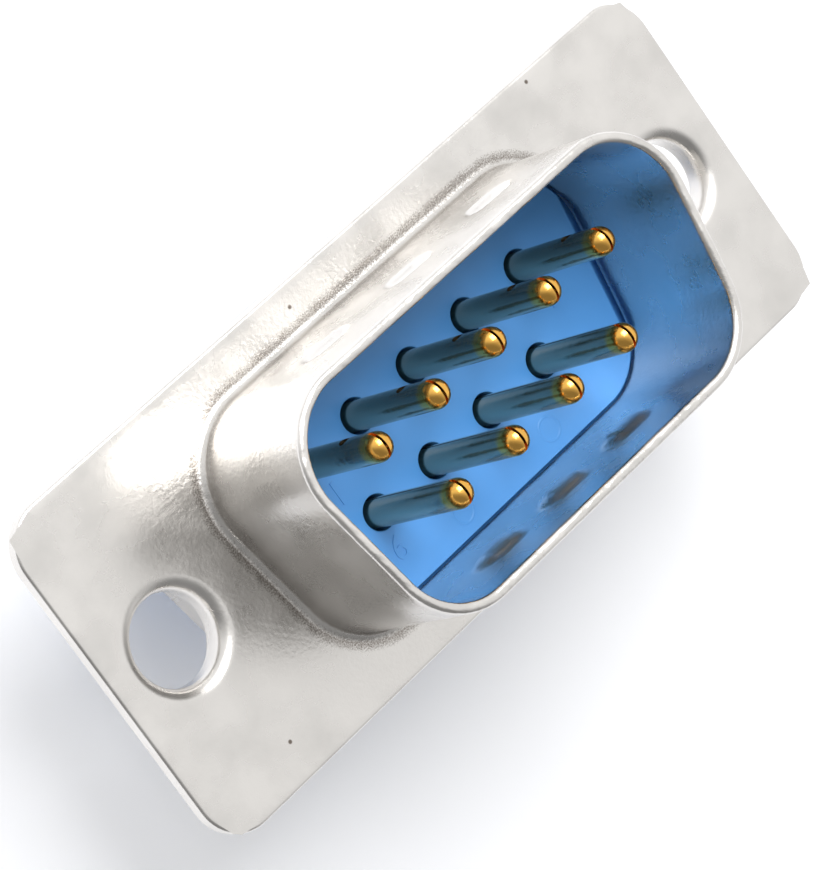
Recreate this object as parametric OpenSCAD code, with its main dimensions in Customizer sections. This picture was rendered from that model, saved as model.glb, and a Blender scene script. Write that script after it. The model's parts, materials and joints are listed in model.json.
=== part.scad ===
// Nine-way D-sub plug with solder cups, for fixing to a panel.
// The origin is the middle of the flange's front face. +Z is the mating direction,
// +X runs along the flange and +Y points to the row of five contacts.

/* [Sheet metal] */
// Thickness of both flanges
sheet_t = 0.45; // [0.4:0.01:0.45]
// Thickness of the walls, which drawing has thinned
wall_t = 0.38; // [0.36:0.01:0.39]
// Radius of the punched upper edges of the flanges
edge_r = 0.12; // [0.05:0.01:0.12]

/* [Flange] */
// Length of the front flange
flange_l = 30.8; // [30:0.1:44]
// Width of the front flange
flange_w = 12.5; // [12.4:0.1:18]
// Corner radius of the front flange
flange_r = 1.6; // [0.8:0.1:3]
// How far the rear flange stays inside the front one
rear_inset = 0.4; // [0.2:0.05:0.4]

/* [Mounting holes] */
// Distance between the two mounting holes
hole_pitch = 24.99; // [24.8:0.01:26]
// Clear diameter of a mounting hole
hole_d = 3.05; // [2.5:0.05:3.1]
// Radius of the drawn mouth of a mounting hole
mouth_r = 0.5; // [0.46:0.01:0.6]
// Wall of the drawn collar in a mounting hole
collar_t = 0.3; // [0.2:0.05:0.35]
// How far the rolled end of the collar reaches out behind the rear flange
roll_reach = 0.75; // [0.5:0.05:0.8]

/* [Hood] */
// Inner width of the hood, on its wide side
hood_w = 17.05; // [16.8:0.05:17.6]
// Inner height of the hood
hood_h = 8.36; // [8.2:0.02:8.7]
// Inner corner radius of the hood
hood_r = 2.45; // [2:0.05:3]
// Lean of the short sides of the D
side_angle = 10; // [5:1:12]
// Height of the hood above the flange
hood_rise = 5.9; // [5.6:0.1:7]
// Outer bend radius where the hood leaves the flange
hood_bend_r = 0.3; // [0.2:0.05:0.6]
// Radius of the hood's rim edges
rim_r = 0.17; // [0.05:0.01:0.17]

/* [Dimples] */
// Distance between the dimples of the wide side
wide_dimple_pitch = 4; // [3:0.1:4.5]
// Distance between the dimples of the narrow side
narrow_dimple_pitch = 3.2; // [2.6:0.1:3.8]
// Height of the dimples above the flange
dimple_z = 3.2; // [2:0.1:4]
// Length of a dimple
dimple_l = 1.9; // [1.5:0.1:2.2]
// Width of a dimple
dimple_w = 1.2; // [0.8:0.1:1.4]
// Depth of a dimple
dimple_depth = 0.28; // [0.1:0.02:0.35]

/* [Rear cup] */
// Outer width of the rear cup, on its wide side
cup_w = 19.28; // [18.9:0.02:19.4]
// Outer height of the rear cup
cup_h = 10.72; // [10.2:0.02:10.74]
// Depth of the rear cup behind the rear flange
cup_depth = 4.5; // [3.8:0.1:6]
// Outer bend radius where the cup leaves the rear flange
cup_bend_r = 0.25; // [0.15:0.05:0.25]
// Width of the lip that closes the rear cup
cup_lip = 0.8; // [0.5:0.1:1]

/* [Insulators] */
// Height of the insulator's face above the flange
face_z = 0.1; // [-0.1:0.05:0.5]
// Gap between the insulator and the hood's long walls
nose_gap = 0.08; // [0.05:0.01:0.15]
// Gap between the insulator and the hood's short walls
flank_gap = 0.3; // [0.15:0.05:0.4]
// Gap between the insulators and the rear cup
cup_gap = 0.08; // [0.05:0.01:0.15]
// Depth of the joint between the two insulators behind the flange's front
split_depth = 2.6; // [2.2:0.1:3.2]
// How far the rear insulator stands out of the rear cup
tail_block = 0.8; // [0.4:0.1:1.5]

/* [Contacts] */
// Distance between contacts in a row
pitch = 2.77; // [2.74:0.01:2.8]
// Distance between the two rows
row_gap = 2.84; // [2.8:0.01:2.9]
// Diameter of a contact pin
pin_d = 1; // [0.9:0.02:1.04]
// Length of a pin in front of the insulator's face
pin_len = 5.2; // [4.6:0.1:5.4]
// Thickness of the rolled contact sheet
foil_t = 0.2; // [0.15:0.01:0.22]
// Width of the rolled seam
seam_w = 0.05; // [0.03:0.01:0.08]
// Width of the slit between the two lobes of the tip
slit_w = 0.1; // [0.05:0.01:0.15]
// Diameter of the round hole in the side of a pin
port_d = 0.42; // [0.3:0.02:0.5]
// Distance from the tip of a pin to its side hole
port_drop = 1.95; // [1.5:0.05:2.5]
// Diameter that a pin widens to inside the insulator
root_d = 1.1; // [1.06:0.01:1.12]
// Diameter of the contact body in front of its drum
neck_d = 1.5; // [1.3:0.05:1.7]
// Diameter of the drum that the insulators trap
drum_d = 2.3; // [2.1:0.05:2.35]
// Length of the drum
drum_l = 0.8; // [0.5:0.1:1.2]
// Diameter of the solder cup
solder_d = 1.9; // [1.7:0.05:2]
// Length of the solder cup behind the rear insulator
solder_len = 3.3; // [2.5:0.1:5]
// Length of the closed ring between the insulator and the cup's opening
solder_ring = 0.4; // [0.2:0.05:0.8]
// Gap between a contact and its hole in the insulators
contact_gap = 0.05; // [0.03:0.01:0.1]
// Extra radius of the visible hole around a pin
mouth_gap = 0.1; // [0.08:0.01:0.15]

/* [Hidden] */
$fn = 64;

plate_color = [0.80, 0.79, 0.77];
insulator_color = [0.20, 0.50, 0.85];
contact_color = [0.84, 0.68, 0.36];

// Reach of a cut past the face that it opens
over = 1;
hole_r = hole_d / 2;
// Clearance of the rear sheet round the drawn collar
collar_gap = 0.02;
stack_t = 2 * sheet_t;
// Width of the flange strip that a drawn wall carries, inside which the plate is opened
strip = 0.06;
// Ratio at which swept pieces are shrunk before they are joined
fine = 100;
// Width of the border strip that carries a flange's rounded edge
border = 0.3;

// Inside of the rear cup
cup_in_w = cup_w - 2 * wall_t;
cup_in_h = cup_h - 2 * wall_t;
cup_in_r = hood_r + (cup_in_h - hood_h) / 2;

// Levels along Z, from the front to the rear
tip_z = face_z + pin_len;
dome_z = tip_z - pin_d / 2;
port_z = tip_z - port_drop;
root_z = face_z + 0.05;
neck_z = -sheet_t - 0.4;
split_z = -split_depth;
drum_top_z = split_z + drum_l / 2;
drum_end_z = split_z - drum_l / 2;
cup_end_z = -stack_t - cup_depth;
lip_z = cup_end_z + wall_t;
block_end_z = cup_end_z - tail_block;
solder_end_z = block_end_z - solder_len;
trough_z = block_end_z - solder_ring;

// Contacts 1 to 5 lie along +X in the wide row, 6 to 9 in the narrow row
WIDE_COUNT = 5;
NARROW_COUNT = 4;
CONTACTS = WIDE_COUNT + NARROW_COUNT;
function in_wide_row(i) = i <= WIDE_COUNT;
function contact_x(i) = in_wide_row(i)
    ? (i - (WIDE_COUNT + 1) / 2) * pitch
    : (i - WIDE_COUNT - (NARROW_COUNT + 1) / 2) * pitch;
function contact_y(i) = in_wide_row(i) ? row_gap / 2 : -row_gap / 2;

// Centres of a D's round corners, for an inner width, height and corner radius
function upper_x(w, r) = w / 2 - r;
function corner_y(h, r) = h / 2 - r;
function lower_x(w, h, r) = upper_x(w, r) - 2 * corner_y(h, r) * tan(side_angle);

// Filled D with true round corners, grown by an offset
module d_shape(w, h, r, grow = 0) {
    ux = upper_x(w, r);
    lx = lower_x(w, h, r);
    cy = corner_y(h, r);
    radius = r + grow;
    side = radius * cos(side_angle);
    drop = radius * sin(side_angle);
    polygon([
        [-ux, cy + radius], [ux, cy + radius],
        [ux + side, cy - drop], [lx + side, -cy - drop],
        [lx, -cy - radius], [-lx, -cy - radius],
        [-lx - side, -cy - drop], [-ux - side, cy - drop]
    ]);
    for (s = [-1, 1]) {
        translate([s * ux, cy]) circle(radius);
        translate([s * lx, -cy]) circle(radius);
    }
}

// Joins its children at a hundredth of their size, where rounded coordinates still meet
module join_finely() {
    scale(fine) {
        for (i = [0 : $children - 1]) {
            scale(1 / fine) children(i);
        }
    }
}

// Turns a wall profile round a corner, anticlockwise from one angle to another
module sweep_corner(x, y, from, to) {
    translate([x, y]) rotate(from) rotate_extrude(angle = to - from) children();
}

// Carries a wall profile straight on, clockwise from a corner; its outside faces an angle
module sweep_side(x, y, facing, distance) {
    translate([x, y]) rotate(facing) rotate([90, 0, 0]) linear_extrude(distance) children();
}

// Carries a wall profile round a D. The profile's x is measured from a corner's centre.
module d_sweep(w, h, r) {
    ux = upper_x(w, r);
    lx = lower_x(w, h, r);
    cy = corner_y(h, r);
    flank = 2 * cy / cos(side_angle);
    join_finely() {
        sweep_side(-ux, cy, 90, 2 * ux) children();
        sweep_side(ux, cy, -side_angle, flank) children();
        sweep_side(lx, -cy, -90, 2 * lx) children();
        sweep_side(-lx, -cy, 180 + side_angle, flank) children();
        sweep_corner(ux, cy, -side_angle, 90) children();
        sweep_corner(lx, -cy, -90, -side_angle) children();
        sweep_corner(-lx, -cy, 180 + side_angle, 270) children();
        sweep_corner(-ux, cy, 90, 180 + side_angle) children();
    }
}

// Quarter bend from a flange on z = -sheet_t..0 up into a wall on x = r..r + wall_t,
// with a strip of the flange beyond it
module bend_profile(r, bend_r) {
    under_r = bend_r + wall_t;
    difference() {
        union() {
            intersection() {
                translate([r + under_r, under_r - sheet_t]) circle(under_r);
                translate([r, -sheet_t]) square(under_r);
            }
            translate([r, under_r - sheet_t]) square([under_r, sheet_t - wall_t]);
        }
        translate([r + under_r, bend_r]) circle(bend_r);
    }
    translate([r + under_r, -sheet_t]) square([strip, sheet_t]);
}

// Wall of the hood with both rim edges rounded
module hood_profile() {
    bend_profile(hood_r, hood_bend_r);
    translate([hood_r, hood_bend_r]) square([wall_t, hood_rise - rim_r - hood_bend_r]);
    translate([hood_r + rim_r, hood_bend_r])
        square([wall_t - 2 * rim_r, hood_rise - hood_bend_r]);
    for (x = [rim_r, wall_t - rim_r]) {
        translate([hood_r + x, hood_rise - rim_r]) circle(rim_r);
    }
}

// Wall of the rear cup, drawn towards +z like the hood, with its inward lip
module cup_profile() {
    bend_profile(cup_in_r, cup_bend_r);
    translate([cup_in_r, cup_bend_r]) square([wall_t, cup_depth - wall_t - cup_bend_r]);
    translate([cup_in_r - cup_lip, cup_depth - wall_t]) square([cup_lip, wall_t]);
    intersection() {
        translate([cup_in_r, cup_depth - wall_t]) circle(wall_t);
        translate([cup_in_r, cup_depth - wall_t]) square(wall_t);
    }
}

// Rectangle with true round corners
module round_rect(l, w, r) {
    square([l - 2 * r, w], center = true);
    square([l, w - 2 * r], center = true);
    for (sx = [-1, 1]) {
        for (sy = [-1, 1]) {
            translate([sx * (l / 2 - r), sy * (w / 2 - r)]) circle(r);
        }
    }
}

// Carries a wall profile round a rectangle. The profile's x is measured from a corner's centre.
module rect_sweep(l, w, r) {
    cx = l / 2 - r;
    cy = w / 2 - r;
    sweep_side(-cx, cy, 90, 2 * cx) children();
    sweep_side(cx, cy, 0, 2 * cy) children();
    sweep_side(cx, -cy, -90, 2 * cx) children();
    sweep_side(-cx, -cy, 180, 2 * cy) children();
    sweep_corner(cx, cy, 0, 90) children();
    sweep_corner(cx, -cy, -90, 0) children();
    sweep_corner(-cx, -cy, 180, 270) children();
    sweep_corner(-cx, cy, 90, 180) children();
}

// Border strip of a flange, with its upper edge rounded by the punch
module border_profile(r) {
    translate([r - border, -sheet_t]) square([border, sheet_t - edge_r]);
    translate([r - border, -sheet_t]) square([border - edge_r, sheet_t]);
    translate([r - edge_r, -edge_r]) circle(edge_r);
}

// Flange plate with its top on z = 0
module flange_plate(l, w, r) {
    rect_sweep(l, w, r) border_profile(r);
    translate([0, 0, -sheet_t]) linear_extrude(sheet_t)
        round_rect(l - 2 * border, w - 2 * border, r - border);
}

// Section of the drawn collar: rounded mouth, tube through the rear sheet, rolled end
module collar_profile() {
    difference() {
        intersection() {
            translate([hole_r, -mouth_r]) square(mouth_r);
            translate([hole_r + mouth_r, -mouth_r]) circle(mouth_r);
        }
        translate([hole_r + collar_t, -mouth_r]) square([mouth_r, mouth_r - sheet_t]);
    }
    translate([hole_r, -stack_t]) square([collar_t, stack_t - mouth_r]);
    intersection() {
        translate([hole_r, -stack_t - collar_t]) square([roll_reach, collar_t]);
        union() {
            translate([hole_r + collar_t, -stack_t]) circle(collar_t);
            translate([hole_r + collar_t, -stack_t - collar_t]) square([roll_reach, collar_t]);
        }
    }
}

module at_mounting_holes() {
    for (s = [-1, 1]) {
        translate([s * hole_pitch / 2, 0]) children();
    }
}

// Capsule whose surface lies a given distance outside the dimple's own
module dimple_tool(extra = 0) {
    half_w = dimple_w / 2;
    radius = (half_w * half_w + dimple_depth * dimple_depth) / (2 * dimple_depth);
    half_l = (dimple_l - dimple_w) / 2;
    translate([0, radius - dimple_depth, dimple_z]) {
        translate([-half_l, 0, 0]) rotate([0, 90, 0]) cylinder(r = radius + extra, h = 2 * half_l);
        for (s = [-1, 1]) {
            translate([s * half_l, 0, 0]) sphere(radius + extra);
        }
    }
}

// Places a tool at the three dimples of one long wall; the tool's +y points out of the wall
module at_dimples(side) {
    dimple_pitch = side > 0 ? wide_dimple_pitch : narrow_dimple_pitch;
    for (i = [-1, 0, 1]) {
        translate([i * dimple_pitch, side * (hood_h / 2 + wall_t), 0])
            rotate(side > 0 ? 0 : 180) children();
    }
}

// Inward bulge of one dimple, without the metal that lies in the wall already
module dimple_bulge() {
    intersection() {
        dimple_tool(wall_t);
        translate([-dimple_l, -wall_t - dimple_l, dimple_z - dimple_l])
            cube([2 * dimple_l, wall_t / 2 + dimple_l, 2 * dimple_l]);
    }
}

module front_shell() color(plate_color) {
    difference() {
        union() {
            difference() {
                flange_plate(flange_l, flange_w, flange_r);
                translate([0, 0, -sheet_t - over]) linear_extrude(sheet_t + 2 * over)
                    d_shape(hood_w, hood_h, hood_r, wall_t + hood_bend_r + strip / 2);
                translate([0, 0, -sheet_t - over]) linear_extrude(sheet_t + 2 * over)
                    at_mounting_holes() circle(hole_r + mouth_r);
            }
            d_sweep(hood_w, hood_h, hood_r) hood_profile();
            at_mounting_holes() rotate_extrude() collar_profile();
            for (side = [-1, 1]) {
                at_dimples(side) dimple_bulge();
            }
        }
        for (side = [-1, 1]) {
            at_dimples(side) dimple_tool();
        }
    }
}

module rear_shell() color(plate_color) {
    translate([0, 0, -stack_t]) rotate([0, 180, 0]) {
        difference() {
            flange_plate(flange_l - 2 * rear_inset, flange_w - 2 * rear_inset, flange_r - rear_inset);
            translate([0, 0, -sheet_t - over]) linear_extrude(sheet_t + 2 * over)
                d_shape(cup_in_w, cup_in_h, cup_in_r, wall_t + cup_bend_r + strip / 2);
            translate([0, 0, -sheet_t - over]) linear_extrude(sheet_t + 2 * over)
                at_mounting_holes() circle(hole_r + collar_t + collar_gap);
        }
        d_sweep(cup_in_w, cup_in_h, cup_in_r) cup_profile();
    }
}

// Outline of the insulator's nose: the hood's D, trimmed along its short sides
module nose_shape() {
    reach = hood_r - flank_gap;
    flank_x = upper_x(hood_w, hood_r) + reach * cos(side_angle);
    flank_y = corner_y(hood_h, hood_r) - reach * sin(side_angle);
    top_x = flank_x + (hood_h / 2 - flank_y) * tan(side_angle);
    low_x = flank_x - (hood_h / 2 + flank_y) * tan(side_angle);
    intersection() {
        d_shape(hood_w, hood_h, hood_r, -nose_gap);
        polygon([
            [-top_x, hood_h / 2], [top_x, hood_h / 2],
            [low_x, -hood_h / 2], [-low_x, -hood_h / 2]
        ]);
    }
}

// Round hole at every contact, between two levels
module contact_bores(radius, low, high) {
    for (i = [1 : CONTACTS]) {
        translate([contact_x(i), contact_y(i), low]) cylinder(r = radius, h = high - low);
    }
}

module front_insulator() color(insulator_color) {
    difference() {
        union() {
            translate([0, 0, -sheet_t]) linear_extrude(sheet_t + face_z) nose_shape();
            translate([0, 0, split_z]) linear_extrude(-sheet_t - split_z)
                d_shape(cup_in_w, cup_in_h, cup_in_r, -cup_gap);
        }
        contact_bores(pin_d / 2 + mouth_gap, split_z, face_z + over);
        contact_bores(neck_d / 2 + contact_gap, split_z, neck_z);
        contact_bores(drum_d / 2 + contact_gap, split_z - over, drum_top_z);
    }
}

module rear_insulator() color(insulator_color) {
    difference() {
        union() {
            translate([0, 0, lip_z]) linear_extrude(split_z - lip_z)
                d_shape(cup_in_w, cup_in_h, cup_in_r, -cup_gap);
            translate([0, 0, block_end_z]) linear_extrude(lip_z - block_end_z)
                d_shape(cup_in_w, cup_in_h, cup_in_r, -cup_lip - cup_gap);
        }
        contact_bores(solder_d / 2 + contact_gap, block_end_z - over, split_z);
        contact_bores(drum_d / 2 + contact_gap, drum_end_z, split_z + over);
    }
}

// Stepped round body of a contact; shrinking it by the foil gives the hollow inside
module contact_body(shrink = 0) {
    pin_r = pin_d / 2 - shrink;
    root_r = root_d / 2 - shrink;
    neck_r = neck_d / 2 - shrink;
    cone_h = (neck_d - root_d) / 2;
    translate([0, 0, dome_z]) sphere(pin_r);
    translate([0, 0, root_z]) cylinder(r = pin_r, h = dome_z - root_z);
    translate([0, 0, neck_z - shrink]) cylinder(r1 = root_r, r2 = pin_r, h = root_z - neck_z + shrink);
    translate([0, 0, neck_z - cone_h - shrink]) cylinder(r1 = neck_r, r2 = root_r, h = cone_h);
    translate([0, 0, drum_top_z - shrink])
        cylinder(r = neck_r, h = neck_z - cone_h - drum_top_z);
    translate([0, 0, drum_end_z + shrink])
        cylinder(r = drum_d / 2 - shrink, h = drum_l - 2 * shrink);
}

// Round tail behind the drum, open at its rear end
module contact_tail(shrink = 0) {
    translate([0, 0, solder_end_z - (shrink > 0 ? over : 0)])
        cylinder(r = solder_d / 2 - shrink, h = drum_end_z - solder_end_z + shrink + (shrink > 0 ? over : 0));
}

// Cuts the outer half of the tail away, with a round run-out under the ring
module solder_opening() {
    run_r = solder_d / 2;
    lip_y = foil_t;
    reach = solder_end_z - over;
    translate([-solder_d, lip_y, reach]) cube([2 * solder_d, solder_d, trough_z - run_r - reach]);
    translate([-solder_d, lip_y + run_r, trough_z - run_r])
        rotate([0, 90, 0]) cylinder(r = run_r, h = 2 * solder_d);
}

// One rolled contact. Its side hole and its cup's opening face +Y, the pin's seam faces -Y.
module contact() color(contact_color) {
    difference() {
        union() {
            contact_body();
            contact_tail();
        }
        contact_body(foil_t);
        contact_tail(foil_t);
        translate([-slit_w / 2, -pin_d, dome_z]) cube([slit_w, 2 * pin_d, pin_d]);
        translate([-seam_w / 2, -drum_d, drum_end_z]) cube([seam_w, drum_d, tip_z - drum_end_z]);
        translate([0, 0, port_z]) rotate([-90, 0, 0]) cylinder(d = port_d, h = pin_d);
        solder_opening();
    }
}

// A contact in its own place; the narrow row's contacts face the other way
module placed_contact(i) {
    translate([contact_x(i), contact_y(i), 0]) rotate(in_wide_row(i) ? 0 : 180) contact();
}

front_shell();
rear_shell();
front_insulator();
rear_insulator();
placed_contact(1);  // contact_1
placed_contact(2);  // contact_2
placed_contact(3);  // contact_3
placed_contact(4);  // contact_4
placed_contact(5);  // contact_5
placed_contact(6);  // contact_6
placed_contact(7);  // contact_7
placed_contact(8);  // contact_8
placed_contact(9);  // contact_9
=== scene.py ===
import bpy
import bmesh
import json
import math
import random
from mathutils import Matrix, Vector, noise
from mathutils.geometry import delaunay_2d_cdt


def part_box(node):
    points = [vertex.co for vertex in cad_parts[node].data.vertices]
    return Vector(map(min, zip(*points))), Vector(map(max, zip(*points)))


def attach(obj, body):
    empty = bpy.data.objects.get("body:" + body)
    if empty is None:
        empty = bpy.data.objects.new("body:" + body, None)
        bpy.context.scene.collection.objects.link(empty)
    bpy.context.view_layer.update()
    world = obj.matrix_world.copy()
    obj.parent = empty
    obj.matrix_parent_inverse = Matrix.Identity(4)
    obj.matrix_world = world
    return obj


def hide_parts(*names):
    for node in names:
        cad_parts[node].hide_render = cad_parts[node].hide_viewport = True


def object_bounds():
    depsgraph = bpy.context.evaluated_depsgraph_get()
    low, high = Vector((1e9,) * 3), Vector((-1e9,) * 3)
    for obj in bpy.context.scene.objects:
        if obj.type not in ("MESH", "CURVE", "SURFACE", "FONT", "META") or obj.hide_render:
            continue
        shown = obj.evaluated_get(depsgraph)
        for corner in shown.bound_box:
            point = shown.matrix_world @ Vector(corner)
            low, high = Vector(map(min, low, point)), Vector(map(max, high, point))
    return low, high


# Nine-way D-sub plug: drawn and plated shells, blue moulded insulators, rolled gold-plated contacts.
# Sizes are in millimetres and become metres only when a mesh is made.

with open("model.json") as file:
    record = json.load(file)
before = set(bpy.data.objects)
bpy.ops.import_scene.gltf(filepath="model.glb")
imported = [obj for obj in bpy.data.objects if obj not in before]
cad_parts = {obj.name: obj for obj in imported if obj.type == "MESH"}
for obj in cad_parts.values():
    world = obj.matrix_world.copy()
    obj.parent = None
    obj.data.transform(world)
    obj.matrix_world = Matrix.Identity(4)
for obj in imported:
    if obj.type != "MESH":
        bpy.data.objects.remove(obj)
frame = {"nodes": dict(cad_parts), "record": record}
cadLow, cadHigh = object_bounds()
scene = bpy.context.scene
mm = 0.001
creaseDeg = 38    # edges sharper than this stay crisp
print("frame loaded")


def boxMm(node):
    low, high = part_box(node)
    return Vector(low) / mm, Vector(high) / mm


def hexColour(text):
    # sRGB hex to the linear values that a shader wants
    channels = [int(text[i:i + 2], 16) / 255 for i in (1, 3, 5)]
    return [c / 12.92 if c <= 0.04045 else ((c + 0.055) / 1.055) ** 2.4 for c in channels] + [1.0]


def addNode(tree, kind, inputs=None, **settings):
    # adds one node; an input takes either a plain value or another node's output
    node = tree.nodes.new("ShaderNode" + kind)
    for key, value in settings.items():
        setattr(node, key, value)
    for key, value in (inputs or {}).items():
        if isinstance(value, bpy.types.NodeSocket):
            tree.links.new(value, node.inputs[key])
        else:
            node.inputs[key].default_value = value
    return node


def setRamp(node, stops):
    # colour ramp from {position: grey level or hex colour}
    ramp = node.color_ramp
    while len(ramp.elements) > 1:
        ramp.elements.remove(ramp.elements[-1])
    for i, (position, value) in enumerate(stops.items()):
        stop = ramp.elements[0] if i == 0 else ramp.elements.new(position)
        stop.position = position
        stop.color = hexColour(value) if isinstance(value, str) else (value, value, value, 1)
    return node


def newMaterial(name):
    material = bpy.data.materials.new(name)
    material.use_nodes = True
    tree = material.node_tree
    tree.nodes.clear()
    output = addNode(tree, "OutputMaterial")
    return material, tree, output


def addPiece(name, bm, material):
    # turns a mesh drawn in millimetres into a piece of the part, smooth except at real creases
    mesh = bpy.data.meshes.new(name)
    bmesh.ops.remove_doubles(bm, verts=bm.verts, dist=0.0005)
    bmesh.ops.recalc_face_normals(bm, faces=bm.faces)
    bmesh.ops.scale(bm, vec=(mm, mm, mm), verts=bm.verts)
    bm.to_mesh(mesh)
    bm.free()
    mesh.materials.append(material)
    mesh.shade_smooth()
    mesh.set_sharp_from_angle(angle=math.radians(creaseDeg))
    piece = bpy.data.objects.new(name, mesh)
    scene.collection.objects.link(piece)
    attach(piece, "root")
    return piece


cameraLook = {
    "placeMm": (-70.281, 30.483, 116.356),
    "turnDeg": (9.4052, -31.6905, -41.5702),
    "lensMm": 178.51,
    "shift": (-0.0036, -0.001),
}


def makeCamera():
    data = bpy.data.cameras.new("camera")
    camera = bpy.data.objects.new("camera", data)
    scene.collection.objects.link(camera)
    camera.location = Vector(cameraLook["placeMm"]) * mm
    camera.rotation_euler = [math.radians(a) for a in cameraLook["turnDeg"]]
    data.lens = cameraLook["lensMm"]
    data.shift_x, data.shift_y = cameraLook["shift"]
    data.clip_start, data.clip_end = 0.005, 5
    scene.camera = camera


makeCamera()


nickelLook = {
    "colour": "#e2dfdb",
    # colour of the painted shade in the root crease, and of the real dark pits
    "shadeAndPitColour": "#6f655c",
    "roughness": 0.27,
    "peelMm": 0.16,      # width of one dimple of the orange peel that drawing leaves
    "grainMm": 0.05,     # width of the plated grain, coarser than life so that it shows
    "cloudMm": 2.2,      # width of the cloudy patches in the plating
    "waveMm": 3.5,       # width of the slow waves in the sheet
    "specksMm": [(-2.4, 5.5), (10.0, 5.9), (-11.5, -4.9)],
    "speckRadiusMm": 0.07,
}


def makeNickel():
    # Drawn steel with bright nickel plating: a light grey metal with a satin sheen, pebbled like
    # orange peel where drawing stretched the sheet, a brown painted shade in the root, and a few dark pits.
    look = nickelLook
    material, tree, output = newMaterial("nickelPlatedDrawnSteel")
    place = addNode(tree, "TexCoord").outputs["Object"]
    stretched = addNode(tree, "Attribute", attribute_name="stretched").outputs["Fac"]
    paintedRootShade = addNode(tree, "Attribute", attribute_name="paintedRootShade").outputs["Fac"]
    peel = addNode(tree, "TexNoise", {"Vector": place, "Scale": 1 / (look["peelMm"] * mm), "Detail": 2.0})
    grain = addNode(tree, "TexNoise", {"Vector": place, "Scale": 1 / (look["grainMm"] * mm), "Detail": 3.0})
    cloud = addNode(tree, "TexNoise", {"Vector": place, "Scale": 1 / (look["cloudMm"] * mm), "Detail": 5.0})
    wave = addNode(tree, "TexNoise", {"Vector": place, "Scale": 1 / (look["waveMm"] * mm), "Detail": 1.0})
    rough = addNode(tree, "MapRange", {"Value": cloud.outputs["Fac"], "From Min": 0.35, "From Max": 0.65,
                                       "To Min": look["roughness"] - 0.05,
                                       "To Max": look["roughness"] + 0.07})
    peelHeight = addNode(tree, "MapRange", {"Value": stretched, "To Min": 0.12, "To Max": 0.55})
    sag = addNode(tree, "Bump", {"Height": wave.outputs["Fac"], "Strength": 0.5, "Distance": 0.03 * mm})
    coarse = addNode(tree, "Bump", {"Height": peel.outputs["Fac"], "Strength": peelHeight.outputs["Result"],
                                    "Distance": 0.02 * mm, "Normal": sag.outputs["Normal"]})
    fine = addNode(tree, "Bump", {"Height": grain.outputs["Fac"], "Strength": 0.35, "Distance": 0.005 * mm,
                                  "Normal": coarse.outputs["Normal"]})
    cloudTone = setRamp(addNode(tree, "ValToRGB", {"Fac": cloud.outputs["Fac"]}), {0.3: 0.88, 0.6: 1.0})
    tint = addNode(tree, "MixRGB", {"Fac": 1.0, "Color1": hexColour(look["colour"]),
                                    "Color2": cloudTone.outputs["Color"]}, blend_type="MULTIPLY")
    # painted shade: a brown band in the root crease beside the hood, broken up by the grain
    speckledShade = addNode(tree, "Math", {0: paintedRootShade, 1: grain.outputs["Fac"]}, operation="MULTIPLY")
    shadeAndPits = addNode(tree, "MapRange", {"Value": speckledShade.outputs["Value"], "From Min": 0.25, "From Max": 0.5,
                                       "To Max": 0.8}).outputs["Result"]
    # real dark pits, laid over the painted shade
    for x, y in look["specksMm"]:
        reach = addNode(tree, "VectorMath", {0: place, 1: (x * mm, y * mm, 0)}, operation="DISTANCE")
        pit = addNode(tree, "MapRange", {"Value": reach.outputs["Value"], "To Min": 0.95, "To Max": 0.0,
                                         "From Min": look["speckRadiusMm"] * 0.7 * mm,
                                         "From Max": look["speckRadiusMm"] * 1.3 * mm})
        darkest = addNode(tree, "Math", {0: shadeAndPits, 1: pit.outputs["Result"]}, operation="MAXIMUM")
        shadeAndPits = darkest.outputs["Value"]
    colour = addNode(tree, "MixRGB", {"Fac": shadeAndPits, "Color1": tint.outputs["Color"],
                                      "Color2": hexColour(look["shadeAndPitColour"])})
    metal = addNode(tree, "BsdfPrincipled", {"Base Color": colour.outputs["Color"], "Metallic": 1.0,
                                             "Roughness": rough.outputs["Result"],
                                             "Normal": fine.outputs["Normal"]})
    tree.links.new(metal.outputs["BSDF"], output.inputs["Surface"])
    return material


insulatorLook = {
    "colour": "#549fea",
    "roughness": 0.36,
    "sparkMm": 0.10,     # width of one crater of the spark-eroded mould skin
    "flowMm": 3.0,       # width of the paler patches that the melt's flow leaves
}


def makeInsulatorBlue():
    # Injection-moulded PBT: opaque bright blue with a satin skin copied from a spark-eroded mould,
    # a little paler where the melt flowed.
    look = insulatorLook
    material, tree, output = newMaterial("mouldedBluePbt")
    place = addNode(tree, "TexCoord").outputs["Object"]
    skin = addNode(tree, "TexNoise", {"Vector": place, "Scale": 1 / (look["sparkMm"] * mm), "Detail": 3.0})
    flow = addNode(tree, "TexNoise", {"Vector": place, "Scale": 1 / (look["flowMm"] * mm), "Detail": 2.0})
    flowTone = setRamp(addNode(tree, "ValToRGB", {"Fac": flow.outputs["Fac"]}), {0.35: 0.93, 0.65: 1.0})
    tint = addNode(tree, "MixRGB", {"Fac": 1.0, "Color1": hexColour(look["colour"]),
                                    "Color2": flowTone.outputs["Color"]}, blend_type="MULTIPLY")
    bump = addNode(tree, "Bump", {"Height": skin.outputs["Fac"], "Strength": 0.15, "Distance": 0.01 * mm})
    plastic = addNode(tree, "BsdfPrincipled", {"Base Color": tint.outputs["Color"],
                                               "Roughness": look["roughness"], "IOR": 1.5,
                                               "Normal": bump.outputs["Normal"]})
    tree.links.new(plastic.outputs["BSDF"], output.inputs["Surface"])
    return material


contactLook = {
    "gold": "#f0b95c",
    "thinGold": "#b3a78e",   # brass and nickel showing through where the gold is thin
    "goldFromMm": 4.55,      # height at which the dip of gold starts
    "goldEdgeMm": 0.15,      # half width of its faded edge
    "blotchMm": 0.25,
    "lineMm": 0.04,          # width of a draw line
    "roughness": 0.2,
}


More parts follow.
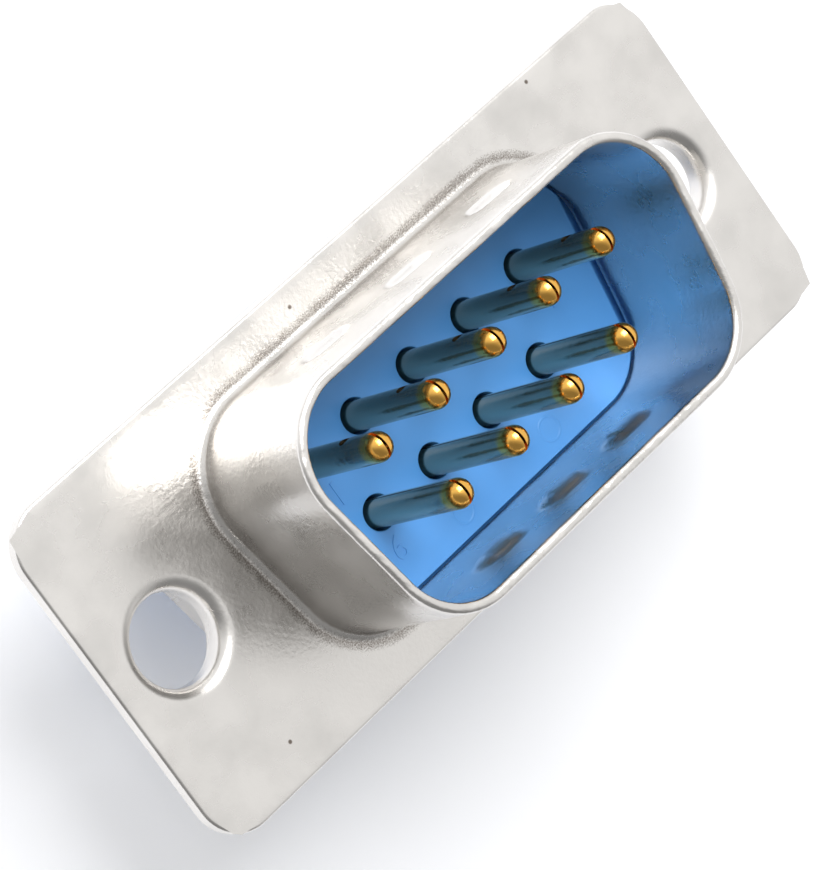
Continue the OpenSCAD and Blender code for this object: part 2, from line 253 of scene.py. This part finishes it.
def makeContactGold():
    # Rolled brass with flash gold: deep yellow on the dipped nose, thin and greyish along the shank,
    # with fine draw lines that run along the pin.
    look = contactLook
    material, tree, output = newMaterial("flashGoldOnBrass")
    place = addNode(tree, "TexCoord").outputs["Object"]
    height = addNode(tree, "SeparateXYZ", {"Vector": place}).outputs["Z"]
    fade, wander = look["goldEdgeMm"], look["blotchMm"]
    blotch = addNode(tree, "TexNoise", {"Vector": place, "Scale": 1 / (wander * mm), "Detail": 3.0})
    edge = addNode(tree, "MapRange", {"Value": blotch.outputs["Fac"],
                                      "To Min": -wander * mm, "To Max": wander * mm})
    level = addNode(tree, "Math", {0: height, 1: edge.outputs["Result"]}, operation="ADD")
    dipped = addNode(tree, "MapRange", {"Value": level.outputs["Value"],
                                        "From Min": (look["goldFromMm"] - fade) * mm,
                                        "From Max": (look["goldFromMm"] + fade) * mm})
    colour = addNode(tree, "MixRGB", {"Fac": dipped.outputs["Result"], "Color1": hexColour(look["thinGold"]),
                                      "Color2": hexColour(look["gold"])})
    stretch = addNode(tree, "Mapping", {"Vector": place, "Scale": (1, 1, 0.08)})
    lines = addNode(tree, "TexNoise", {"Vector": stretch.outputs["Vector"], "Detail": 3.0,
                                       "Scale": 1 / (look["lineMm"] * mm)})
    drawn = addNode(tree, "Bump", {"Height": lines.outputs["Fac"], "Strength": 0.25, "Distance": 0.006 * mm})
    dent = addNode(tree, "Bump", {"Height": blotch.outputs["Fac"], "Strength": 0.3, "Distance": 0.03 * mm,
                                  "Normal": drawn.outputs["Normal"]})
    metal = addNode(tree, "BsdfPrincipled", {"Base Color": colour.outputs["Color"], "Metallic": 1.0,
                                             "Roughness": look["roughness"],
                                             "Normal": dent.outputs["Normal"]})
    tree.links.new(metal.outputs["BSDF"], output.inputs["Surface"])
    return material


nickel = makeNickel()
insulatorBlue = makeInsulatorBlue()
contactGold = makeContactGold()
print("materials made")


def arcPoints(cx, cz, radius, startDeg, endDeg, count):
    angles = [math.radians(startDeg + (endDeg - startDeg) * k / count) for k in range(count + 1)]
    return [(cx + radius * math.cos(a), cz + radius * math.sin(a)) for a in angles]


def stepsBetween(x0, z0, x1, z1, step):
    # points between two ends of a straight, without the ends
    count = max(1, round(math.hypot(x1 - x0, z1 - z0) / step))
    return [(x0 + (x1 - x0) * k / count, z0 + (z1 - z0) * k / count) for k in range(1, count)]


def roundPath(corners, longStep, arcStep=4.0):
    # Path along the centres of an outline's round corners, anticlockwise. A corner is its centre's
    # x and y and the angles between which it turns; each point comes with its outward direction.
    path = []
    for i, (x, y, start, end) in enumerate(corners):
        turns = max(2, round((end - start) / arcStep))
        for k in range(turns + 1):
            a = math.radians(start + (end - start) * k / turns)
            path.append((Vector((x, y)), Vector((math.cos(a), math.sin(a)))))
        step = Vector(corners[(i + 1) % len(corners)][:2]) - Vector((x, y))
        count = max(1, round(step.length / longStep))
        a = math.radians(end)
        for k in range(1, count):
            path.append((Vector((x, y)) + step * (k / count), Vector((math.cos(a), math.sin(a)))))
    return path


def circlePath(x, y, count):
    angles = [2 * math.pi * k / count for k in range(count)]
    return [(Vector((x, y)), Vector((math.cos(a), math.sin(a)))) for a in angles]


def rectanglePath(length, width, radius, longStep):
    cx, cy = length / 2 - radius, width / 2 - radius
    corners = [(cx, cy, 0, 90), (-cx, cy, 90, 180), (-cx, -cy, 180, 270), (cx, -cy, 270, 360)]
    return roundPath(corners, longStep, 6)


def outlineAt(path, reach):
    return [centre + out * reach for centre, out in path]


def sweepSection(bm, path, section, nudge=None):
    # carries a section of (reach, height) points round a path; nudge may move each point
    rings = []
    for reach, z in section:
        ring = []
        for centre, out in path:
            spot = centre + out * reach
            place = Vector((spot.x, spot.y, z))
            ring.append(bm.verts.new(nudge(place, out, reach) if nudge else place))
        rings.append(ring)
    for low, high in zip(rings, rings[1:]):
        for i in range(len(path)):
            j = (i + 1) % len(path)
            bm.faces.new((low[i], low[j], high[j], high[i]))


def fillFlat(bm, z, loops, gridStep, isSolid):
    # fine triangles between loops at one height; isSolid(point, margin) is true inside the material
    coords, edges = [], []
    for loop in loops:
        first = len(coords)
        coords += loop
        edges += [(first + i, first + (i + 1) % len(loop)) for i in range(len(loop))]
    xs, ys = [p.x for p in coords], [p.y for p in coords]
    rng = random.Random(4)
    for ix in range(int((max(xs) - min(xs)) / gridStep)):
        for iy in range(int((max(ys) - min(ys)) / gridStep)):
            jog = Vector((rng.uniform(0.3, 0.7), rng.uniform(0.3, 0.7)))
            spot = Vector((min(xs) + (ix + jog.x) * gridStep, min(ys) + (iy + jog.y) * gridStep))
            if isSolid(spot, 0.5 * gridStep):
                coords.append(spot)
    verts, _, faces, *_ = delaunay_2d_cdt(coords, edges, [], 0, 1e-6)
    made = [bm.verts.new((v.x, v.y, z)) for v in verts]
    for face in faces:
        middle = sum((verts[i] for i in face), Vector((0, 0))) / len(face)
        if isSolid(middle, 0):
            bm.faces.new([made[i] for i in face])
    for v in made:
        if not v.link_faces:
            bm.verts.remove(v)


dForm = {
    "cornerX": 6.075,    # half the distance between the upper corners' centres
    "cornerY": 1.73,     # half the distance between the upper and the lower corners' centres
    "leanDeg": 10.0,     # lean of the short sides
}
lowerX = dForm["cornerX"] - 2 * dForm["cornerY"] * math.tan(math.radians(dForm["leanDeg"]))
dCorners = [(-lowerX, -dForm["cornerY"]), (lowerX, -dForm["cornerY"]),
            (dForm["cornerX"], dForm["cornerY"]), (-dForm["cornerX"], dForm["cornerY"])]


def dPath(longStep, spareDeg=0.0, arcStep=4.0):
    # spareDeg ends the corners early on the short sides
    lean = dForm["leanDeg"]
    turns = [(180 + lean + spareDeg, 270), (270, 360 - lean - spareDeg),
             (360 - lean + spareDeg, 450), (450, 540 + lean - spareDeg)]
    return roundPath([corner + turn for corner, turn in zip(dCorners, turns)], longStep, arcStep)


def outsideD(point):
    # distance outside the four-sided figure of the D's corner centres, below zero inside it
    inside, nearest = True, 1e9
    for a, b in zip(dCorners, dCorners[1:] + dCorners[:1]):
        start, edge = Vector(a), Vector(b) - Vector(a)
        away = point - start
        t = min(1.0, max(0.0, away.dot(edge) / edge.length_squared))
        nearest = min(nearest, (away - edge * t).length)
        inside = inside and edge.x * away.y - edge.y * away.x > 0
    return -nearest if inside else nearest


shellForm = {
    "sheet": 0.45,
    "wall": 0.38,
    "edge": 0.12,        # radius of the punched upper edge
    "flangeCorner": 1.6,
    "hoodCorner": 2.45,  # inner corner radius of the hood
    "bend": 0.3,         # outer bend radius where the hood leaves the flange
    "rim": 0.17,
    "burr": 0.035,       # how deep the trimming tool bit into the rim
    "hole": 1.525,
    "holePitch": 24.99,
    "holeMouth": 0.5,
    "collar": 0.3,
    "roll": 0.75,        # how far the rolled end of a collar reaches out
    "dimplePitch": {1: 4.0, -1: 3.2},
    "dimpleHeight": 3.2,
    "dimpleSize": (1.9, 1.2, 0.28),
    "dimpleBlend": 0.05,
    "wallStep": 0.12,    # spacing of the mesh along and up the hood's outer wall
    "innerStep": 0.15,   # the same up its inner wall
    "faceStep": 0.22,    # the same across the flange's front
    "backStep": 0.8,
    "holeSides": 72,
    "stretchFrom": 0.3,  # distance from the hood at which the stretched skin starts to fade
    "stretchTo": 3.5,
    "rootShadeAt": 0.35,     # middle of the painted shade in the root, measured from the hood
    # half width of the painted shade band in the root
    "rootShadeHalf": 0.45,
}


def dimpleDepth(along, up, spread):
    # how far a capsule-shaped punch reaches past a wall; spread is the sheet between punch and face
    length, width, depth = shellForm["dimpleSize"]
    radius = ((width / 2) ** 2 + depth ** 2) / (2 * depth)
    sideways = max(0.0, abs(along) - (length - width) / 2)
    across = sideways ** 2 + up ** 2
    if across >= (radius + spread) ** 2:
        return 0.0
    reach = math.sqrt((radius + spread) ** 2 - across) - (radius - depth) - spread
    soft = shellForm["dimpleBlend"]
    if reach < -soft:
        return 0.0
    return reach if reach > soft else (reach + soft) ** 2 / (4 * soft)


def pressHood(place, out, reach):
    # presses the dimples into the long walls and makes the trimmed rim a little ragged
    if abs(out.y) > 0.999:
        side = 1 if out.y > 0 else -1
        spread = max(0.0, shellForm["hoodCorner"] + shellForm["wall"] - reach)
        for step in (-1, 0, 1):
            along = place.x - step * shellForm["dimplePitch"][side]
            place.y -= side * dimpleDepth(along, place.z - shellForm["dimpleHeight"], spread)
    rimTop = hoodTop - shellForm["rim"]
    if place.z > rimTop:
        ragged = noise.noise(Vector((place.x * 5, place.y * 5, 3 + reach * 4)))
        notch = max(0.0, noise.noise(Vector((place.x * 1.7, place.y * 1.7, 9))) - 0.25)
        share = (place.z - rimTop) / shellForm["rim"]
        place.z -= share * shellForm["burr"] * (max(0.0, ragged) + 1.5 * notch)
    return place


def makeFrontShell():
    form = shellForm
    low, high = boxMm("front_shell")
    length, width = high.x - low.x, high.y - low.y
    root = form["hoodCorner"] + form["wall"] + form["bend"]
    inner, outer = form["hoodCorner"], form["hoodCorner"] + form["wall"]
    under = form["bend"] + form["wall"]
    rim = form["rim"]
    hood = dPath(form["wallStep"], arcStep=3.0)
    section = arcPoints(root, form["bend"], form["bend"], 270, 180, 10)
    section += stepsBetween(outer, form["bend"], outer, high.z - rim, form["wallStep"])
    section += arcPoints(outer - rim, high.z - rim, rim, 0, 90, 7)
    section += arcPoints(inner + rim, high.z - rim, rim, 90, 180, 7)
    section += stepsBetween(inner, high.z - rim, inner, under - form["sheet"], form["innerStep"])
    section += arcPoints(root, under - form["sheet"], under, 180, 270, 10)
    bm = bmesh.new()
    sweepSection(bm, hood, section, pressHood)
    border = rectanglePath(length, width, form["flangeCorner"], 0.5)
    corner, edge, sheet = form["flangeCorner"], form["edge"], form["sheet"]
    sweepSection(bm, border, arcPoints(corner - edge, -edge, edge, 90, 0, 5) + [(corner, -sheet)])
    hole, mouth, collar = form["hole"], form["holeMouth"], form["collar"]
    back = -2 * sheet
    tube = arcPoints(hole + mouth, -mouth, mouth, 90, 180, 12)
    tube += arcPoints(hole + collar, back, collar, 180, 270, 8)
    tube += [(hole + form["roll"], back - collar), (hole + form["roll"], back), (hole + collar, back)]
    tube += [(hole + collar, -sheet)]
    places = [(side * form["holePitch"] / 2, 0.0) for side in (-1, 1)]
    circles = [circlePath(x, y, form["holeSides"]) for x, y in places]
    for circle in circles:
        sweepSection(bm, circle, tube)

    def isSolid(point, margin, holeReach, inset):
        if abs(point.x) > length / 2 - inset - margin or abs(point.y) > width / 2 - inset - margin:
            return False
        if any((point - Vector(place)).length < holeReach + margin for place in places):
            return False
        return outsideD(point) > root + margin

    top = [outlineAt(border, corner - edge), outlineAt(hood, root)]
    bottom = [outlineAt(border, corner), outlineAt(hood, root)]
    top += [outlineAt(circle, hole + mouth) for circle in circles]
    bottom += [outlineAt(circle, hole + collar) for circle in circles]
    fillFlat(bm, 0.0, top, form["faceStep"], lambda p, margin: isSolid(p, margin, hole + mouth, edge))
    fillFlat(bm, -sheet, bottom, form["backStep"], lambda p, margin: isSolid(p, margin, hole + collar, 0))
    shell = addPiece("front_shell_drawn", bm, nickel)
    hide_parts("front_shell")

    # shares from 0 to 1: how much drawing stretched the sheet here, and how much painted shade it gets in the
    # root
    mesh = shell.data
    stretched = mesh.attributes.new("stretched", "FLOAT", "POINT")
    paintedRootShade = mesh.attributes.new("paintedRootShade", "FLOAT", "POINT")
    for i, v in enumerate(mesh.vertices):
        spot = v.co / mm
        gap = outsideD(spot.xy) - outer
        faded = max(0.0, gap - form["stretchFrom"]) / (form["stretchTo"] - form["stretchFrom"])
        stretched.data[i].value = max(0.0, 1 - faded)
        # painted shade: a dark band on the flange's front next to the hood
        onTop = -0.05 < spot.z < 0.4 and gap > 0
        shadeAndPits = max(0.0, 1 - abs(gap - form["rootShadeAt"]) / form["rootShadeHalf"])
        paintedRootShade.data[i].value = shadeAndPits if onTop else 0.0


hoodTop = boxMm("front_shell")[1].z
makeFrontShell()
print("front shell made")


insulatorForm = {
    "noseGap": 0.08,
    "flankGap": 0.3,
    "blockReach": 3.17,     # from a corner's centre to the side of the block behind the flange
    "holeEdge": 0.04,
    "bore": 0.6,
    "neck": (0.8, -0.85),   # radius of the hole's wider part and the level where it starts
    "drum": (1.2, -2.2),
    "digits": {1: (0.55, -1.5), 5: (0.45, -1.5), 6: (-0.15, -1.35), 9: (0.15, -1.35)},
    "digitHeight": 0.9,
    "relief": 0.025,        # how far digits and ejector rings stand out
    "rings": [(-1.6, -3.3), (2.9, -3.3), (0.0, 3.3)],
    "ringRadius": 0.42,
    "boreSides": 48,
    "ringSides": 40,
    "faceStep": 0.5,
    "coarseStep": 5,
}


def makeFrontInsulator():
    form = insulatorForm
    low, high = boxMm("front_insulator")
    face, split, sheet = high.z, low.z, shellForm["sheet"]
    reach = shellForm["hoodCorner"] - form["noseGap"]
    trimmed = shellForm["hoodCorner"] - form["flankGap"]
    spare = math.degrees(math.acos(trimmed / reach))
    nose = outlineAt(dPath(40, spare), reach)
    block = outlineAt(dPath(40), form["blockReach"])
    bore, edge = form["bore"], form["holeEdge"]
    neck, drum = form["neck"], form["drum"]
    tube = arcPoints(bore + edge, face - edge, edge, 90, 180, 4)
    tube += [(bore, neck[1]), (neck[0], neck[1]), (neck[0], drum[1]), (drum[0], drum[1]), (drum[0], split)]

    def inLoop(point, loop):
        crossings = 0
        for a, b in zip(loop, loop[1:] + loop[:1]):
            if (a.y > point.y) != (b.y > point.y):
                crossings += point.x < (b.x - a.x) * (point.y - a.y) / (b.y - a.y) + a.x
        return crossings % 2 == 1

    def clearOfHoles(point, radius):
        return all((point - place).length > radius for place in pinPlaces.values())

    def rings(radius):
        return [outlineAt(circlePath(p.x, p.y, form["boreSides"]), radius) for p in pinPlaces.values()]

    bm = bmesh.new()
    for place in pinPlaces.values():
        sweepSection(bm, circlePath(place.x, place.y, form["boreSides"]), tube)
    for loop, upper, lower in ((nose, face, -sheet), (block, -sheet, split)):
        tops = [bm.verts.new((p.x, p.y, upper)) for p in loop]
        ends = [bm.verts.new((p.x, p.y, lower)) for p in loop]
        for i in range(len(loop)):
            j = (i + 1) % len(loop)
            bm.faces.new((tops[i], ends[i], ends[j], tops[j]))
    fillFlat(bm, face, [nose] + rings(bore + edge), form["faceStep"],
             lambda p, margin: inLoop(p, nose) and clearOfHoles(p, bore + edge + margin))
    fillFlat(bm, -sheet, [block, nose], form["coarseStep"],
             lambda p, margin: inLoop(p, block) and not inLoop(p, nose))
    fillFlat(bm, split, [block] + rings(drum[0]), form["coarseStep"],
             lambda p, margin: inLoop(p, block) and clearOfHoles(p, drum[0] + margin))
    piece = addPiece("front_insulator_moulded", bm, insulatorBlue)
    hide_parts("front_insulator")


def makeFaceMarks():
    # plain position numbers and ejector rings, raised a little from the insulator's face
    form = insulatorForm
    face = boxMm("front_insulator")[1].z
    bm = bmesh.new()
    for number, (dx, dy) in form["digits"].items():
        curve = bpy.data.curves.new("digit", "FONT")
        curve.body = str(number)
        curve.align_x, curve.align_y = "CENTER", "CENTER"
        curve.size = form["digitHeight"] * 1.35
        curve.extrude = form["relief"] / 2
        text = bpy.data.objects.new("digit", curve)
        mesh = bpy.data.meshes.new_from_object(text)
        place = pinPlaces[number]
        mesh.transform(Matrix.Translation((place.x + dx, place.y + dy, face + form["relief"] / 2)))
        bm.from_mesh(mesh)
        bpy.data.objects.remove(text)
        bpy.data.curves.remove(curve)
    lift = form["relief"] * 0.7
    ring = form["ringRadius"]
    ridge = [(ring - 0.05, face), (ring - 0.02, face + lift), (ring + 0.02, face + lift), (ring + 0.05, face)]
    for x, y in form["rings"]:
        sweepSection(bm, circlePath(x, y, form["ringSides"]), ridge)
    marks = addPiece("position_numbers", bm, insulatorBlue)


pinPlaces = {}
for mount in frame["record"]["mounts"]:
    if mount["name"].startswith("pin_"):
        pinPlaces[int(mount["name"][4:])] = Vector(mount["pos_m"][:2]) / mm
makeFrontInsulator()
makeFaceMarks()
print("front insulator made")


contactForm = {
    "foil": 0.2,
    "pin": 0.5,             # radius of the pin
    "root": (0.55, 0.15, -0.85),    # radius in the insulator, and the levels between which it tapers
    "neck": 0.75,
    "drum": (1.15, -2.2, -3.0),
    "cup": 0.95,            # radius of the solder cup
    "ringEnd": -6.6,        # where the closed ring ends and the solder cup opens
    "port": (0.21, 1.95),   # radius of the side hole and its distance below the tip
    "slit": 0.1,
    "seam": 0.05,
    "sides": 64,
    "cutterSides": 40,
}


def contactSection(tip, rear, shrink):
    # half section of the rolled contact from its nose to its rear end
    form = contactForm
    pin, neck = form["pin"] - shrink, form["neck"] - shrink
    root, rootTop, rootEnd = form["root"][0] - shrink, form["root"][1], form["root"][2]
    drum, drumTop, drumEnd = form["drum"][0] - shrink, form["drum"][1] - shrink, form["drum"][2] + shrink
    cup = form["cup"] - shrink
    dome = tip - form["pin"]
    cone = neck - root
    section = arcPoints(0, dome, pin, 90, 0, 14)[1:]
    section += [(pin, rootTop), (root, rootEnd - shrink), (neck, rootEnd - cone - shrink)]
    section += [(neck, drumTop), (drum, drumTop), (drum, drumEnd), (cup, drumEnd), (cup, rear)]
    return section


def makeContact(tip, rear):
    form = contactForm
    bm = bmesh.new()
    path = circlePath(0, 0, form["sides"])
    outside = contactSection(tip, rear, 0)
    inside = contactSection(tip, rear, form["foil"])
    sweepSection(bm, path, outside + inside[::-1])
    for z, ring in ((tip, outside[0]), (tip - form["foil"], inside[0])):
        pole = bm.verts.new((0, 0, z))
        spots = [v for v in bm.verts if abs(v.co.z - ring[1]) < 1e-6 and abs(v.co.xy.length - ring[0]) < 1e-6]
        spots.sort(key=lambda v: math.atan2(v.co.y, v.co.x))
        for i in range(len(spots)):
            bm.faces.new((spots[i], spots[(i + 1) % len(spots)], pole))
    body = addPiece("contact_1_rolled", bm, contactGold)

    dome = tip - form["pin"]
    portRadius, portDrop = form["port"]
    drumEnd = form["drum"][2]
    cup, lip = form["cup"], form["foil"]
    runOut = form["ringEnd"] - cup
    boxes = [((-form["slit"] / 2, -1, dome), (form["slit"] / 2, 1, tip + 1)),
             ((-form["seam"] / 2, -2, drumEnd), (form["seam"] / 2, 0, tip - 0.02)),
             ((-2, lip, rear - 1), (2, 2, runOut))]
    rods = [((0, 1, tip - portDrop), (90, 0, 0), portRadius, 2), ((0, lip + cup, runOut), (0, 90, 0), cup, 4)]
    for start, end in boxes:
        middle = [(a + b) / 2 for a, b in zip(start, end)]
        cutContact(body, "box", middle, (0, 0, 0), [b - a for a, b in zip(start, end)])
    for place, turn, radius, length in rods:
        cutContact(body, "rod", place, turn, (radius, radius, length))
    body.data.set_sharp_from_angle(angle=math.radians(creaseDeg))
    return body


def cutContact(body, kind, place, turnDeg, size):
    # takes a box or a rod of unit size, scaled to size, out of the contact
    bm = bmesh.new()
    if kind == "box":
        bmesh.ops.create_cube(bm, size=1)
    else:
        sides = contactForm["cutterSides"]
        bmesh.ops.create_cone(bm, cap_ends=True, segments=sides, radius1=1, radius2=1, depth=1)
    mesh = bpy.data.meshes.new("cutter")
    bm.to_mesh(mesh)
    bm.free()
    cutter = bpy.data.objects.new("cutter", mesh)
    scene.collection.objects.link(cutter)
    cutter.location = Vector(place) * mm
    cutter.rotation_euler = [math.radians(a) for a in turnDeg]
    cutter.scale = Vector(size) * mm
    cut = body.modifiers.new("cut", "BOOLEAN")
    cut.operation, cut.object, cut.solver = "DIFFERENCE", cutter, "EXACT"
    bpy.context.view_layer.update()
    shape = bpy.data.meshes.new_from_object(body.evaluated_get(bpy.context.evaluated_depsgraph_get()))
    body.modifiers.clear()
    old, body.data = body.data, shape
    shape.name = old.name
    bpy.data.meshes.remove(old)
    bpy.data.objects.remove(cutter)


def placeContacts():
    low, high = boxMm("contact_1")
    first = makeContact(high.z, low.z)
    for number, place in pinPlaces.items():
        contact = first if number == 1 else bpy.data.objects.new(f"contact_{number}_rolled", first.data)
        if number > 1:
            scene.collection.objects.link(contact)
        contact.location = (place.x * mm, place.y * mm, 0)
        contact.rotation_euler.z = 0 if place.y > 0 else math.pi
        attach(contact, "root")
        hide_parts(f"contact_{number}")


placeContacts()
print("contacts made")

for name, look in (("rear_shell", nickel), ("rear_insulator", insulatorBlue)):
    for slot in frame["nodes"][name].material_slots:
        slot.material = look


studio = {
    "floorColour": "#f1f2f5",
    "floorSizeMm": 900,
    "floorGlow": 0.12,
    "worldBright": 1.0,
    "worldDark": 0.28,
    "brightSide": (0.66, 0.66, -0.1),    # direction from which the window light comes
    "shadeRange": (-0.65, 0.1),          # dot products between which dark turns to bright
    "lampWatts": 0.45,
    "lampPlaceMm": (20, 120, 190),
    "lampSizeMm": 140,
}


def makeFloor():
    # matt white card under the part; camera and reflections see it a little brighter than it lights
    material, tree, output = newMaterial("whiteCard")
    card = addNode(tree, "BsdfDiffuse", {"Color": hexColour(studio["floorColour"])})
    glow = addNode(tree, "Emission", {"Color": hexColour("#ffffff"), "Strength": studio["floorGlow"]})
    rays = addNode(tree, "LightPath")
    seen = addNode(tree, "Math", {0: rays.outputs["Is Camera Ray"], 1: rays.outputs["Is Glossy Ray"]},
                   operation="MAXIMUM")
    both = addNode(tree, "AddShader", {0: card.outputs["BSDF"], 1: glow.outputs["Emission"]})
    mix = addNode(tree, "MixShader", {0: seen.outputs["Value"], 1: card.outputs["BSDF"],
                                      2: both.outputs["Shader"]})
    tree.links.new(mix.outputs["Shader"], output.inputs["Surface"])
    bm = bmesh.new()
    bmesh.ops.create_grid(bm, x_segments=1, y_segments=1, size=studio["floorSizeMm"])
    bmesh.ops.scale(bm, vec=(mm, mm, mm), verts=bm.verts)
    mesh = bpy.data.meshes.new("floor")
    bm.to_mesh(mesh)
    bm.free()
    mesh.materials.append(material)
    floor = bpy.data.objects.new("floor", mesh)
    floor.location.z = cadLow[2]
    scene.collection.objects.link(floor)


def makeLights():
    # a bright room with its windows on one side, and one softbox overhead
    world = bpy.data.worlds.new("studio")
    scene.world = world
    world.use_nodes = True
    tree = world.node_tree
    tree.nodes.clear()
    output = addNode(tree, "OutputWorld")
    facing = addNode(tree, "VectorMath", {0: addNode(tree, "TexCoord").outputs["Generated"],
                                          1: studio["brightSide"]}, operation="DOT_PRODUCT")
    dark, bright = studio["shadeRange"]
    strength = addNode(tree, "MapRange", {"Value": facing.outputs["Value"],
                                          "From Min": dark, "From Max": bright,
                                          "To Min": studio["worldDark"], "To Max": studio["worldBright"]},
                       interpolation_type="SMOOTHSTEP")
    sky = addNode(tree, "Background", {"Color": hexColour("#ffffff"), "Strength": strength.outputs["Result"]})
    tree.links.new(sky.outputs["Background"], output.inputs["Surface"])
    data = bpy.data.lights.new("softbox", "AREA")
    data.shape = "RECTANGLE"
    data.size = data.size_y = studio["lampSizeMm"] * mm
    data.energy = studio["lampWatts"]
    lamp = bpy.data.objects.new("softbox", data)
    lamp.location = Vector(studio["lampPlaceMm"]) * mm
    lamp.rotation_euler = (-lamp.location).to_track_quat("-Z", "Y").to_euler()
    scene.collection.objects.link(lamp)


makeFloor()
makeLights()
scene.view_settings.view_transform = "Standard"
print("floor and light made")
